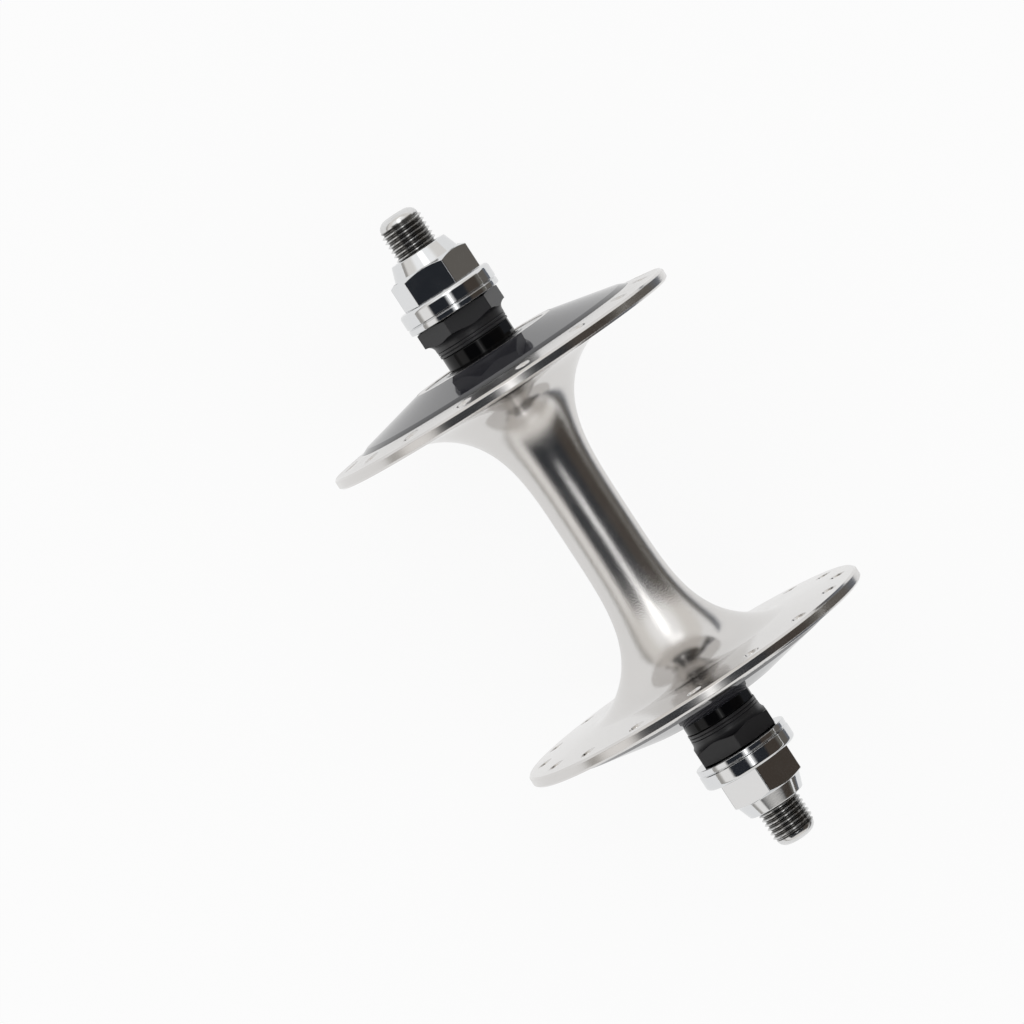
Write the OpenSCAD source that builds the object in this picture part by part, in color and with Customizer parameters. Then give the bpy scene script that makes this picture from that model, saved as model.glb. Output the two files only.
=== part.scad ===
// High flange front hub for a track bicycle, with loose balls between cups and cones.
// The origin is the middle of the hub. The axle lies along Y, with the left end at +Y.
// Profiles are written as [radius, distance from the middle of the hub].

/* [Axle] */
// Distance between the outer faces of the two locknuts
over_locknut = 100; // [98:1:110]
// Length of the axle from tip to tip
axle_len = 143.4; // [140:0.2:150]
// Diameter of the axle's thread, over its crests
axle_d = 9; // [8.6:0.1:9.4]
// Diameter of the plain shank between the two threads
shank_d = 8.3; // [7.6:0.1:8.5]
// Length of the thread at each end, with its rounded tip
thread_len = 42; // [38:1:46]
// Length of the rounded tip past the thread
tip_len = 1.8; // [1:0.1:2.2]
// Diameter of the smooth tip where it leaves the thread
tip_d = 8.2; // [7.8:0.1:8.4]
// Diameter of the centre hole in each tip
centre_hole_d = 3; // [2:0.2:3.6]
// Depth of the centre hole
centre_hole_depth = 6; // [4:0.5:9]
// Chamfer where the thread's crests end at the tip
thread_end_chamfer = 0.35; // [0.2:0.05:0.5]
// Length of the taper from the thread down to the plain shank
thread_runout = 0.5; // [0.3:0.1:1]
// Depth of the key flat along the thread
key_flat_depth = 0.6; // [0.4:0.1:0.9]
// Turn of the key flat about the axle, in degrees
key_turn = -90; // [-180:1:180]

/* [Hub shell] */
// Distance between the middles of the two flange rims
flange_spacing = 68.4; // [67:0.2:70]
// Outer diameter of the flanges
flange_d = 74.9; // [73.8:0.1:76]
// Thickness of the rim
rim_t = 2.3; // [2:0.1:2.8]
// Chamfer on the rim's two edges
rim_chamfer = 0.45; // [0.2:0.05:0.6]
// Slope of the flange's inner face, in degrees
inner_slope = 3.5; // [2:0.5:5]
// Slope of the bare outer ring that holds the spoke holes, in degrees
ring_slope = 8.5; // [7.5:0.5:10]
// Diameter of the barrel at its middle
barrel_d = 13.9; // [13:0.1:15]
// Radius at which the trumpet runs into the flange
trumpet_r = 22; // [20:0.5:25]
// Fullness of the trumpet's curve along the axle: more keeps the barrel straight for longer
trumpet_grip = 3.9; // [3:0.1:4.6]
// Fullness of the trumpet's curve across the flange: more makes its bend into the flange tighter
trumpet_sweep = 1.75; // [1.6:0.05:2.4]
// Diameter of the bore through the barrel
barrel_bore_d = 10.6; // [10:0.1:11]
// Thickness of the web behind the cup
cup_web_t = 1; // [0.8:0.1:1.6]
// Length of the flare from the bore to the web
flare_len = 5; // [3:0.5:7]

/* [Spoke holes] */
// Spoke holes in each flange
spoke_holes = 16; // [12:2:18]
// Distance from the flange's edge in to the middle of a spoke hole
spoke_edge = 3.95; // [3.4:0.05:4.2]
// Diameter of a spoke hole
spoke_hole_d = 2.6; // [2.3:0.1:2.8]
// Width of the countersink round each spoke hole
countersink = 0.35; // [0.2:0.05:0.5]
// Turn of the left flange's holes about the axle, in degrees
spoke_phase = -3.5; // [-11:0.25:11]

/* [Face rings] */
// Width of the bare metal between the face ring and the spoke holes
ring_margin = 1.55; // [1.3:0.05:1.8]
// Thickness of the dark face ring
face_ring_t = 0.4; // [0.3:0.05:0.6]
// Width of the face ring's steep outer shoulder
shoulder_w = 1.5; // [1:0.1:2]
// Rise of the shoulder
shoulder_rise = 0.7; // [0.4:0.05:0.8]
// Slope of the face ring inside its shoulder, in degrees
face_slope = 13; // [12:0.2:14]

/* [Bearings] */
// Diameter of a ball, three sixteenths of an inch
ball_d = 4.7625; // [4.6:0.05:4.9]
// Balls on each side
ball_count = 10; // [8:1:10]
// Diameter of the circle through the balls' centres
ball_circle_d = 16.6; // [16.4:0.1:17]
// Distance from the boss's top down to the balls' centres
ball_depth = 5.6; // [5.4:0.1:6]
// Running clearance between a ball and its races
race_gap = 0.06; // [0.04:0.01:0.1]
// Contact angle of the races' ends past the ball's sides, in degrees
cup_wrap = 22; // [15:1:28]
// Wall of the cup round the balls
cup_wall = 0.95; // [0.8:0.05:1.2]
// Floor of the cup behind the balls
cup_floor = 1.1; // [0.8:0.1:1.5]
// Width of the shoulder in the shell behind the cup
cup_shoulder = 2.6; // [2:0.1:3]
// Diameter of the cone's body
cone_d = 14.8; // [14.4:0.1:15.2]
// Distance across the cone's two spanner flats
cone_flats = 14.2; // [13.6:0.1:14.5]
// Length of the cone's flats, from its outer end
cone_flat_len = 2.2; // [1.6:0.1:2.6]
// Turn of the cone's flats about the axle, in degrees
cone_turn = 60; // [-90:1:90]
// Length of the cone's nose inside the balls' centres
cone_nose = 1.2; // [0.8:0.1:1.6]
// Chamfer on the cone's edges
cone_edge = 0.3; // [0.2:0.05:0.4]

/* [Dust caps and seals] */
// Width of the ledge that carries the dust cap, outside the cup
cap_ledge = 1.75; // [1.4:0.05:2]
// Wall of the boss round the dust cap
boss_wall = 1.7; // [1.4:0.1:2]
// Depth of the dust cap's seat below the boss's top
cap_depth = 2.4; // [2.2:0.1:2.6]
// Depth of the cap's face below the boss's top
cap_sink = 0.2; // [0.1:0.05:0.4]
// Thickness of the dust cap's face
cap_t = 0.8; // [0.6:0.05:0.9]
// Wall of the dust cap's skirt
cap_skirt = 1; // [0.7:0.1:1.4]
// Chamfer on the dust cap's outer edge
cap_edge = 0.2; // [0.1:0.05:0.3]
// Height of the rolled edge round the dust cap's hole
cap_roll = 0.15; // [0.05:0.05:0.25]
// Width of the rolled edge
cap_roll_w = 0.9; // [0.6:0.1:1.2]
// Running gap between the dust cap and the cone
cap_gap = 0.5; // [0.3:0.05:0.7]
// Running gap between the dust cap and the seal's lip
lip_gap = 0.15; // [0.1:0.05:0.3]
// Thickness of the seal
seal_t = 1; // [0.8:0.1:1.1]
// Reach of the seal's lip outside the cone
seal_reach = 2.3; // [1.8:0.1:2.8]
// Height of the seal's lip over its body
seal_lip_h = 0.4; // [0.3:0.05:0.5]
// Width of the seal's lip at its root
seal_lip_w = 1; // [0.8:0.1:1.2]

/* [Locknuts] */
// Length of the locknut
locknut_len = 5.3; // [5:0.1:5.8]
// Width of the locknut across its flats
locknut_af = 16; // [15.8:0.1:17]
// Length of the locknut's hexagon
locknut_hex_len = 3.2; // [2.3:0.1:3.4]
// Diameter of the locknut's neck
locknut_neck_d = 15.2; // [14.2:0.1:15.6]
// Radius of the hollow between the neck and the hexagon
locknut_fillet = 1.5; // [1:0.1:1.7]
// Chamfer on the hexagon's corners at the locknut's outer face
locknut_chamfer = 0.35; // [0.2:0.05:0.5]
// Chamfer on the inner edge of the locknut's neck
neck_chamfer = 0.2; // [0.1:0.05:0.3]
// Turn of the left locknut about the axle, in degrees
left_locknut_turn = 30; // [-30:1:30]
// Turn of the right locknut about the axle, in degrees
right_locknut_turn = 9; // [-30:1:30]
// Thickness of the key washer between the cone and the locknut
key_washer_t = 1.3; // [1:0.1:1.6]
// Diameter of the key washer
key_washer_d = 15.1; // [14.6:0.1:15.6]
// Chamfer on the key washer's edges
key_washer_edge = 0.15; // [0.1:0.05:0.25]
// Width and depth of the groove round the key washer
key_groove = 0.25; // [0.15:0.05:0.35]

/* [Axle nuts] */
// Pitch of the axle's thread
thread_pitch = 1; // [0.8:0.05:1.25]
// Turns that a nut is opened to let the fork end in
open_turns = 8; // [4:1:8]
// Diameter of the captive washer
washer_d = 20; // [19:0.1:21]
// Thickness of the captive washer
washer_t = 4.5; // [4.3:0.1:5.2]
// Thickness of the washer's narrow lip against the fork end
washer_lip_t = 1.1; // [0.9:0.1:1.4]
// Step from the washer's band down to its lip
washer_lip_step = 0.1; // [0.05:0.05:0.5]
// Width of the V-shaped groove between the lip and the band, at the lip
washer_groove_w = 0.35; // [0.2:0.05:0.5]
// Chamfer on the washer's lip
washer_edge = 0.2; // [0.1:0.05:0.3]
// Radius of the washer's outer shoulder
washer_round = 0.8; // [0.5:0.1:1.1]
// Clearance between the axle and the washer's bore
washer_play = 0.4; // [0.3:0.05:0.5]
// Width of the nut across its flats
nut_af = 15; // [14.6:0.1:16]
// Length of the nut's hexagon
nut_hex_len = 5.7; // [4.6:0.1:6.4]
// Angle of the turned chamfer on the hexagon's corners, in degrees
nut_chamfer = 26; // [20:1:35]
// Length of the nut's collar
collar_len = 3.1; // [2.2:0.1:3.6]
// Diameter of the collar at the hexagon
collar_d = 14; // [13.4:0.1:14.4]
// Diameter of the collar's outer end
collar_end_d = 11.9; // [11.2:0.1:12.4]
// Chamfer on the collar's outer edge
collar_edge = 0.3; // [0.2:0.05:0.5]
// Depth of the countersink at the nut's outer end
nut_sink = 0.6; // [0.4:0.1:0.9]
// Turn of the left nut about the axle, in degrees
left_nut_turn = 30; // [-30:1:30]
// Turn of the right nut about the axle, in degrees
right_nut_turn = -11; // [-30:1:30]
// Radius of the nut's spigot inside the washer
spigot_r = 6.2; // [5.9:0.1:6.4]
// Width of the spigot's retaining lip
spigot_lip = 0.5; // [0.3:0.1:0.6]
// Thickness of the retaining lip
spigot_lip_t = 0.7; // [0.5:0.1:0.8]

/* [Clearances] */
// Gap all round pieces that are pressed or screwed together
seat_gap = 0.03; // [0.01:0.01:0.05]
// Radial running clearance of the nut's thread
thread_gap = 0.05; // [0.03:0.01:0.08]
// Running gap of the spigot in the washer
swivel_gap = 0.12; // [0.08:0.02:0.2]
// Gap left between the locknut and the captive washer
clamp_gap = 0.05; // [0.02:0.01:0.1]

/* [Hidden] */
LEFT = 1;
RIGHT = -1;
ROUND = 96;
HOLE = 32;
ARC_STEPS = 9;
TRUMPET_STEPS = 24;
// Overlap of a cutting tool past the face that it cuts
past = 0.5;
// Overlap of two bodies that are joined into one piece
bite = 1;

// Radii
axle_r = axle_d / 2;
key_flat_r = axle_r - key_flat_depth;
ball_r = ball_d / 2;
ball_circle_r = ball_circle_d / 2;
race_r = ball_r + race_gap;
cone_r = cone_d / 2;
cup_r = ball_circle_r + race_r + cup_wall;
cap_r = cup_r + cap_ledge;
boss_r = cap_r + boss_wall;
rim_r = flange_d / 2;
spoke_r = rim_r - spoke_edge;
face_r = spoke_r - spoke_hole_d / 2 - countersink - ring_margin;
shoulder_r = face_r - shoulder_w;
rim_edge_r = rim_r - rim_chamfer;
barrel_r = barrel_d / 2;

// Distances from the hub's middle, from the flange outwards
rim_in_y = (flange_spacing - rim_t) / 2;
rim_out_y = (flange_spacing + rim_t) / 2;
face_y = rim_out_y + (rim_edge_r - face_r) * tan(ring_slope);
shoulder_y = face_y + shoulder_rise;
boss_y = shoulder_y + (shoulder_r - boss_r) * tan(face_slope);
ball_y = boss_y - ball_depth;
cup_back_y = ball_y - race_r - cup_floor;
cap_seat_y = boss_y - cap_depth;
cap_face_y = boss_y - cap_sink;
cap_under_y = cap_face_y - cap_t;
seal_top_y = cap_under_y - lip_gap;

// Distances from the hub's middle, from the locknut inwards and outwards
clamp_y = over_locknut / 2;
key_washer_y = clamp_y - locknut_len;
cone_end_y = key_washer_y - key_washer_t;
washer_in_y = clamp_y + clamp_gap;
washer_out_y = washer_in_y + washer_t;
nut_in_y = washer_out_y + clamp_gap;
collar_y = nut_in_y + nut_hex_len;
nut_out_y = collar_y + collar_len;
spigot_in_y = washer_in_y + washer_lip_t + swivel_gap;
axle_tip_y = axle_len / 2;
tip_y = axle_tip_y - tip_len;
thread_in_y = axle_tip_y - thread_len;

// A ball set turns slower than the shell: the cup drives it and the cone stands still
contact_r = ball_r * cos(45);
orbit_ratio = (ball_circle_r + contact_r) / (2 * ball_circle_r);
// The nut and its washer move out by one pitch for each turn of the nut
open_travel = open_turns * thread_pitch;
echo(orbit_ratio = orbit_ratio, open_travel = open_travel, nut_degrees = open_turns * 360);
echo(boss_y = boss_y, ball_y = ball_y, nut_out_y = nut_out_y, tip_y = tip_y);

// Points of an arc about [r, y], from one angle to another
function arc(r, y, radius, from, to, steps = ARC_STEPS) =
    [for (i = [0 : steps]) let (a = from + (to - from) * i / steps)
        [r + radius * cos(a), y + radius * sin(a)]];

function backwards(points) = [for (i = [len(points) - 1 : -1 : 0]) points[i]];

function other_side(points) = [for (p = backwards(points)) [p[0], -p[1]]];

// Turns an upright piece onto the axle, with its top towards the given end
module at_end(end) {
    rotate([-90 * end, 0, 0]) children();
}

// Turns an upright piece about the axle, positive from +X towards +Z at both ends
module turned(end, angle) {
    rotate([0, 0, -end * angle]) children();
}

module revolve(points) {
    rotate_extrude($fn = ROUND) polygon(points);
}

// Hexagonal bar across the given flats, from one distance to another
module hex_bar(across_flats, from_y, to_y) {
    translate([0, 0, from_y])
        linear_extrude(to_y - from_y) circle(r = across_flats / 2 / cos(30), $fn = 6);
}

// Block beyond the given distance from the axle's centre line, on the key flat's side
module beyond_flat(end, flat_r, from_y, to_y) {
    turned(end, key_turn) translate([flat_r, -axle_d, from_y])
        cube([axle_d, 2 * axle_d, to_y - from_y]);
}

// Bore along the axle, with the flat that keys on the axle's own flat
module keyed_bore(end, from_y, to_y) {
    difference() {
        translate([0, 0, from_y - past])
            cylinder(r = axle_r + seat_gap, h = to_y - from_y + 2 * past, $fn = ROUND);
        beyond_flat(end, key_flat_r + seat_gap, from_y - 2 * past, to_y + 2 * past);
    }
}

// How far the flange's inner slope has fallen at the given radius, from the rim inwards
function fallen(r) = (rim_edge_r - r) * tan(inner_slope);

// Curve from the barrel's middle to the flange's inner face: a quarter of a rounded oblong,
// sheared so that its flat end lies on the flange's slope
function trumpet() = [for (i = [0 : TRUMPET_STEPS]) let (
    a = 90 * i / TRUMPET_STEPS,
    r = trumpet_r - (trumpet_r - barrel_r) * pow(cos(a), 2 / trumpet_sweep),
    foot = fallen(barrel_r),
    y = foot + (rim_in_y - foot) * pow(sin(a), 2 / trumpet_grip))
        [r, y - fallen(r)]];

// Outside of one half of the shell, from its middle to the boss
function shell_outside() = concat(
    trumpet(),
    [[rim_edge_r, rim_in_y], [rim_r, rim_in_y + rim_chamfer], [rim_r, rim_out_y - rim_chamfer],
     [rim_edge_r, rim_out_y], [face_r, face_y], [face_r, face_y - face_ring_t],
     [shoulder_r, shoulder_y - face_ring_t], [boss_r, boss_y - face_ring_t], [boss_r, boss_y]]
);

// Inside of one half of the shell, from the boss's top back to its middle
function shell_inside() = [
    [cap_r, boss_y], [cap_r, cap_seat_y], [cup_r, cap_seat_y], [cup_r, cup_back_y],
    [cup_r - cup_shoulder, cup_back_y], [cup_r - cup_shoulder, cup_back_y - cup_web_t],
    [barrel_bore_d / 2, cup_back_y - cup_web_t - flare_len]
];

// One spoke hole along the axle's direction, widened at both faces of the flange
module spoke_hole() {
    hole_r = spoke_hole_d / 2;
    low_y = rim_in_y - fallen(spoke_r);
    high_y = rim_out_y + (rim_edge_r - spoke_r) * tan(ring_slope);
    reach = countersink + past;
    translate([spoke_r, 0, low_y - past])
        cylinder(r = hole_r, h = high_y - low_y + 2 * past, $fn = HOLE);
    translate([spoke_r, 0, high_y - countersink])
        cylinder(r1 = hole_r, r2 = hole_r + reach, h = reach, $fn = HOLE);
    translate([spoke_r, 0, low_y - past])
        cylinder(r1 = hole_r + reach, r2 = hole_r, h = reach, $fn = HOLE);
}

module spoke_hole_circle(end, phase) {
    at_end(end) for (i = [0 : spoke_holes - 1])
        turned(end, phase + i * 360 / spoke_holes) spoke_hole();
}

module hub_shell() {
    half = concat(shell_outside(), shell_inside());
    color("gainsboro") difference() {
        at_end(LEFT) revolve(concat(half, other_side(half)));
        spoke_hole_circle(LEFT, spoke_phase);
        spoke_hole_circle(RIGHT, spoke_phase + 180 / spoke_holes);
    }
}

// Thin conical ring in the recess of the flange's face
module face_ring(end) {
    top = [[face_r - seat_gap, face_y], [shoulder_r, shoulder_y], [boss_r + seat_gap, boss_y]];
    under = [for (p = backwards(top)) [p[0], p[1] - face_ring_t + seat_gap]];
    color("dimgray") at_end(end) revolve(concat(top, under));
}

// Pressed cup, its race curving round the balls from outside and behind
module bearing_cup(end) {
    race = arc(ball_circle_r, ball_y, race_r, 0, -90 - cup_wrap);
    wall_r = cup_r - seat_gap;
    lip_r = race[ARC_STEPS][0];
    color("silver") at_end(end) revolve(concat(
        [[wall_r, cup_back_y], [wall_r, cap_seat_y], [ball_circle_r + race_r, cap_seat_y]],
        race, [[lip_r, cup_back_y]]));
}

module balls(end) {
    color("lightgray") at_end(end) for (i = [0 : ball_count - 1])
        rotate([0, 0, i * 360 / ball_count])
            translate([ball_circle_r, 0, ball_y]) sphere(r = ball_r, $fn = HOLE);
}

// Screwed cone, its race curving round the balls from inside and in front
module cone(end) {
    mouth_angle = acos((cone_r - ball_circle_r) / race_r);
    race = arc(ball_circle_r, ball_y, race_r, mouth_angle, 180);
    nose_r = ball_circle_r - race_r;
    color("#1b1b1d") at_end(end) turned(end, cone_turn) difference() {
        revolve(concat(
            [[axle_r + seat_gap, cone_end_y], [cone_r - cone_edge, cone_end_y],
             [cone_r, cone_end_y - cone_edge]],
            race,
            [[nose_r, ball_y - cone_nose + cone_edge],
             [nose_r - cone_edge, ball_y - cone_nose],
             [axle_r + seat_gap, ball_y - cone_nose]]));
        for (side = [-1, 1])
            translate([-cone_r, side * (cone_flats + cone_r) / 2 - cone_r / 2,
                       cone_end_y - cone_flat_len])
                cube([cone_d, cone_r, cone_flat_len + past]);
    }
}

// Rubber ring gripping the cone, with a thin lip under the dust cap
module seal(end) {
    bore_r = cone_r + seat_gap;
    lip_r = cone_r + seal_reach;
    body_y = seal_top_y - seal_lip_h;
    color("#141414") at_end(end) revolve([
        [bore_r, seal_top_y - seal_t], [lip_r - seal_lip_w, seal_top_y - seal_t],
        [lip_r, body_y], [lip_r, seal_top_y], [lip_r - seal_lip_w / 2, seal_top_y],
        [lip_r - seal_lip_w, body_y], [bore_r, body_y]
    ]);
}

// Pressed cap: a flat face with a rolled inner edge and a skirt down to its ledge
module dust_cap(end) {
    hole_r = cone_r + cap_gap;
    outer_r = cap_r - seat_gap;
    color("#101010") at_end(end) revolve([
        [hole_r, cap_under_y], [outer_r - cap_skirt, cap_under_y],
        [outer_r - cap_skirt, cap_seat_y], [outer_r, cap_seat_y],
        [outer_r, cap_face_y - cap_edge], [outer_r - cap_edge, cap_face_y],
        [hole_r + cap_roll_w, cap_face_y], [hole_r + cap_roll_w / 2, cap_face_y + cap_roll],
        [hole_r + cap_roll, cap_face_y + cap_roll], [hole_r, cap_face_y]
    ]);
}

module key_washer(end) {
    outer_r = key_washer_d / 2;
    middle_y = key_washer_y - key_washer_t / 2;
    color("#2a2a2c") at_end(end) difference() {
        revolve([
            [0, cone_end_y], [outer_r - key_washer_edge, cone_end_y],
            [outer_r, cone_end_y + key_washer_edge],
            [outer_r, middle_y - key_groove / 2], [outer_r - key_groove, middle_y],
            [outer_r, middle_y + key_groove / 2],
            [outer_r, key_washer_y - key_washer_edge],
            [outer_r - key_washer_edge, key_washer_y], [0, key_washer_y]
        ]);
        keyed_bore(end, cone_end_y, key_washer_y);
    }
}

// Hexagon turned down to a neck by a hollow curve, so its corners end in arcs
module locknut(end, turn) {
    corner_r = locknut_af / 2 / cos(30);
    neck_r = locknut_neck_d / 2;
    hex_y = clamp_y - locknut_hex_len;
    hollow = arc(neck_r + locknut_fillet, hex_y - locknut_fillet, locknut_fillet, 180, 90);
    color("#1e1e20") at_end(end) turned(end, turn) difference() {
        intersection() {
            hex_bar(locknut_af, key_washer_y, clamp_y);
            revolve(concat(
                [[0, key_washer_y], [neck_r - neck_chamfer, key_washer_y],
                 [neck_r, key_washer_y + neck_chamfer]],
                hollow,
                [[corner_r + past, hex_y], [corner_r + past, clamp_y - locknut_chamfer],
                 [locknut_af / 2, clamp_y], [0, clamp_y]]));
        }
        translate([0, 0, key_washer_y - past])
            cylinder(r = axle_r + seat_gap, h = locknut_len + 2 * past, $fn = ROUND);
    }
}

// Axle with a plain shank, two threads at their crest size and rounded tips
module axle() {
    tip_r = tip_d / 2;
    hole_r = centre_hole_d / 2;
    rounding = 45;
    // The tip is the outer part of an oval that would close at the centre line
    tip = [for (i = [0 : ARC_STEPS]) let (a = 90 * i / ARC_STEPS)
        [hole_r + (tip_r - hole_r) * cos(a), tip_y + tip_len * sin(a)]];
    half = concat(
        [[shank_d / 2, thread_in_y - thread_runout], [axle_r, thread_in_y],
         [axle_r, tip_y - thread_end_chamfer]],
        tip,
        [[hole_r, axle_tip_y - centre_hole_depth],
         [0, axle_tip_y - centre_hole_depth - hole_r * tan(90 - rounding)]]);
    color("silver") difference() {
        at_end(LEFT) revolve(concat(half, other_side(half)));
        for (end = [LEFT, RIGHT])
            at_end(end) beyond_flat(end, key_flat_r, thread_in_y, axle_tip_y + past);
    }
}

// Washer that swivels on the nut's spigot and bears on the fork end
module captive_washer(end) {
    outer_r = washer_d / 2;
    lip_r = outer_r - washer_lip_step;
    floor_y = washer_in_y + washer_lip_t;
    groove_y = floor_y + spigot_lip_t + 2 * swivel_gap;
    shoulder = arc(outer_r - washer_round, washer_out_y - washer_round, washer_round, 0, 90);
    color("whitesmoke") at_end(end) revolve(concat(
        [[axle_r + washer_play, washer_in_y], [lip_r - washer_edge, washer_in_y],
         [lip_r, washer_in_y + washer_edge], [lip_r, floor_y],
         [lip_r - washer_groove_w / 2, floor_y + washer_groove_w / 2],
         [outer_r, floor_y + washer_groove_w + washer_lip_step]],
        shoulder,
        [[spigot_r + swivel_gap, washer_out_y], [spigot_r + swivel_gap, groove_y],
         [spigot_r + spigot_lip + swivel_gap, groove_y],
         [spigot_r + spigot_lip + swivel_gap, floor_y], [axle_r + washer_play, floor_y]]));
}

// Nut with a turned hexagon, a tapered collar and a spigot held in the washer
module axle_nut(end, turn) {
    corner_r = nut_af / 2 / cos(30);
    flat_r = nut_af / 2;
    bevel = (corner_r + past - flat_r) * tan(nut_chamfer);
    bore_r = axle_r + thread_gap;
    color("whitesmoke") at_end(end) turned(end, turn) difference() {
        union() {
            intersection() {
                hex_bar(nut_af, nut_in_y, collar_y);
                revolve([[0, nut_in_y], [corner_r + past, nut_in_y],
                         [corner_r + past, collar_y - bevel], [flat_r, collar_y], [0, collar_y]]);
            }
            revolve([
                [0, spigot_in_y], [spigot_r + spigot_lip, spigot_in_y],
                [spigot_r + spigot_lip, spigot_in_y + spigot_lip_t],
                [spigot_r, spigot_in_y + spigot_lip_t], [spigot_r, nut_in_y + bite],
                [flat_r - bite, nut_in_y + bite], [flat_r - bite, collar_y - bite],
                [collar_d / 2, collar_y - bite], [collar_d / 2, collar_y],
                [collar_end_d / 2, nut_out_y - collar_edge],
                [collar_end_d / 2 - collar_edge, nut_out_y], [0, nut_out_y]
            ]);
        }
        translate([0, 0, spigot_in_y - past])
            cylinder(r = bore_r, h = nut_out_y - spigot_in_y + 2 * past, $fn = ROUND);
        translate([0, 0, nut_out_y - nut_sink])
            cylinder(r1 = bore_r, r2 = bore_r + nut_sink + past, h = nut_sink + past,
                     $fn = ROUND);
    }
}

hub_shell();
face_ring(LEFT);  // left_face_ring
face_ring(RIGHT);  // right_face_ring
bearing_cup(LEFT);  // left_bearing_cup
bearing_cup(RIGHT);  // right_bearing_cup
dust_cap(LEFT);  // left_dust_cap
dust_cap(RIGHT);  // right_dust_cap
axle();
balls(LEFT);  // left_balls
balls(RIGHT);  // right_balls
cone(LEFT);  // left_cone
cone(RIGHT);  // right_cone
seal(LEFT);  // left_seal
seal(RIGHT);  // right_seal
key_washer(LEFT);  // left_key_washer
key_washer(RIGHT);  // right_key_washer
locknut(LEFT, left_locknut_turn);  // left_locknut
locknut(RIGHT, right_locknut_turn);  // right_locknut
captive_washer(LEFT);  // left_captive_washer
captive_washer(RIGHT);  // right_captive_washer
axle_nut(LEFT, left_nut_turn);  // left_axle_nut
axle_nut(RIGHT, right_nut_turn);  // right_axle_nut
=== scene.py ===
"""A high flange front hub for a track bicycle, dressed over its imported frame.

Lengths are millimetres until piece() writes a mesh in metres. The hub's axis is Y. Angles about
it run from +X to +Z. A profile is a pair of arrays, points [radius, distance along Y] and their
outward normals. A sheet is a pair of grids, points and normals in space. Shapes are written for
the left end, at +Y, and reflected to the right end.
"""

import bpy
import numpy as np
from mathutils import Matrix, Vector


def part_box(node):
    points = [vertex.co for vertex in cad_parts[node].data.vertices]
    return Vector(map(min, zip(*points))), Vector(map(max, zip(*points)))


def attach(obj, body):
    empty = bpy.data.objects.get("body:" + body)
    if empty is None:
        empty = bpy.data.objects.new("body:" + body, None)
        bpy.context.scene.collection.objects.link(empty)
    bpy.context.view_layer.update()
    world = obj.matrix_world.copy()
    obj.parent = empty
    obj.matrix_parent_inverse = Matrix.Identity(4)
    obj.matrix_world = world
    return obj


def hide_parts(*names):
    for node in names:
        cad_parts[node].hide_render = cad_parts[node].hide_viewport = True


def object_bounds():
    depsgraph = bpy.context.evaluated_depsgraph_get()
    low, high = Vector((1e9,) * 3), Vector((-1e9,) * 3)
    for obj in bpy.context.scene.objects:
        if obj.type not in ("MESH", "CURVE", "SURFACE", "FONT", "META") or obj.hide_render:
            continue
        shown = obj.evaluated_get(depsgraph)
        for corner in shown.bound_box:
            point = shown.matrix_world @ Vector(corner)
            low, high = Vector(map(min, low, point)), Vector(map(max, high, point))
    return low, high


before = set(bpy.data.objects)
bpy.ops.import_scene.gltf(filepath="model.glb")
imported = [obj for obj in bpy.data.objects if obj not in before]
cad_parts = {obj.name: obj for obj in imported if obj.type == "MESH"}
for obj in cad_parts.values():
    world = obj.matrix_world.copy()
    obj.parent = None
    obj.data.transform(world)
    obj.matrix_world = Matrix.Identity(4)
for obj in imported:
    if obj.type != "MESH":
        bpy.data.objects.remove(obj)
cad_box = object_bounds()

MM = 0.001
ENDS = (("left", 1), ("right", -1))


def span(node):
    """Inner end, outer end and radius of a turned node of the left end."""
    low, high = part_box(node)
    return low.y / MM, high.y / MM, high.x / MM


# Places read from the frame
_, BOSS_Y, RIM_R = span("hub_shell")
_, AXLE_TIP_Y, AXLE_R = span("axle")
KEY_WASHER_IN_Y, KEY_WASHER_Y, KEY_WASHER_R = span("left_key_washer")
CLAMP_Y = span("left_locknut")[1]
WASHER_IN_Y, WASHER_Y, WASHER_R = span("left_captive_washer")
NUT_SPIGOT_Y, NUT_Y, _ = span("left_axle_nut")
CONE_IN_Y, CONE_Y, CONE_R = span("left_cone")
CAP_IN_Y, CAP_TOP_Y, CAP_R = span("left_dust_cap")
CUP_BACK_Y, _, CUP_R = span("left_bearing_cup")

# The paper lies a hair under the rims, in metres, so that neither pokes through it
FLOOR_Z = cad_box[0].z - 0.0001

# Hub shell
RIM_MIDDLE_Y = 34.2
RIM_T = 2.3
RIM_EDGE = 0.45
INNER_SLOPE = np.tan(np.radians(3.5))
RING_SLOPE = np.tan(np.radians(8.5))
BARREL_R = 6.95
TRUMPET_R = 22.0
TRUMPET_GRIP = 3.9
TRUMPET_SWEEP = 1.75
BORE_R = 5.3
CUP_SHOULDER = 2.6
CUP_WEB_T = 1.0
FLARE_LEN = 5.0
BOSS_R = 15.14

# Spoke holes
HOLES = 16
HOLE_R = 1.3
HOLE_CIRCLE_R = RIM_R - 3.95
HOLE_SINK = 0.35
HOLE_EDGE = 0.05
HOLE_FIELD = 2.4
HOLE_PHASE = np.radians(-3.5)

# Face ring
RING_R = HOLE_CIRCLE_R - HOLE_R - HOLE_SINK - 1.55
RING_T = 0.4
SHOULDER_W = 1.5
SHOULDER_RISE = 0.7
FIT = 0.03

# Dust cap
CAP_T = 0.8
CAP_SKIRT_T = 1.0
CAP_GAP = 0.5
CAP_ROLL = 0.15
CAP_ROLL_FOOT = 0.9
CAP_ROLL_TOP = 0.55

# Bearing cone
BALL_R = 4.7625 / 2
BALL_CLEARANCE = 0.06
BALL_CIRCLE_R = 8.3
BALL_DEPTH = 5.6
CONE_FLAT_R = 7.1
CONE_FLAT_LEN = 2.2

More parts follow.
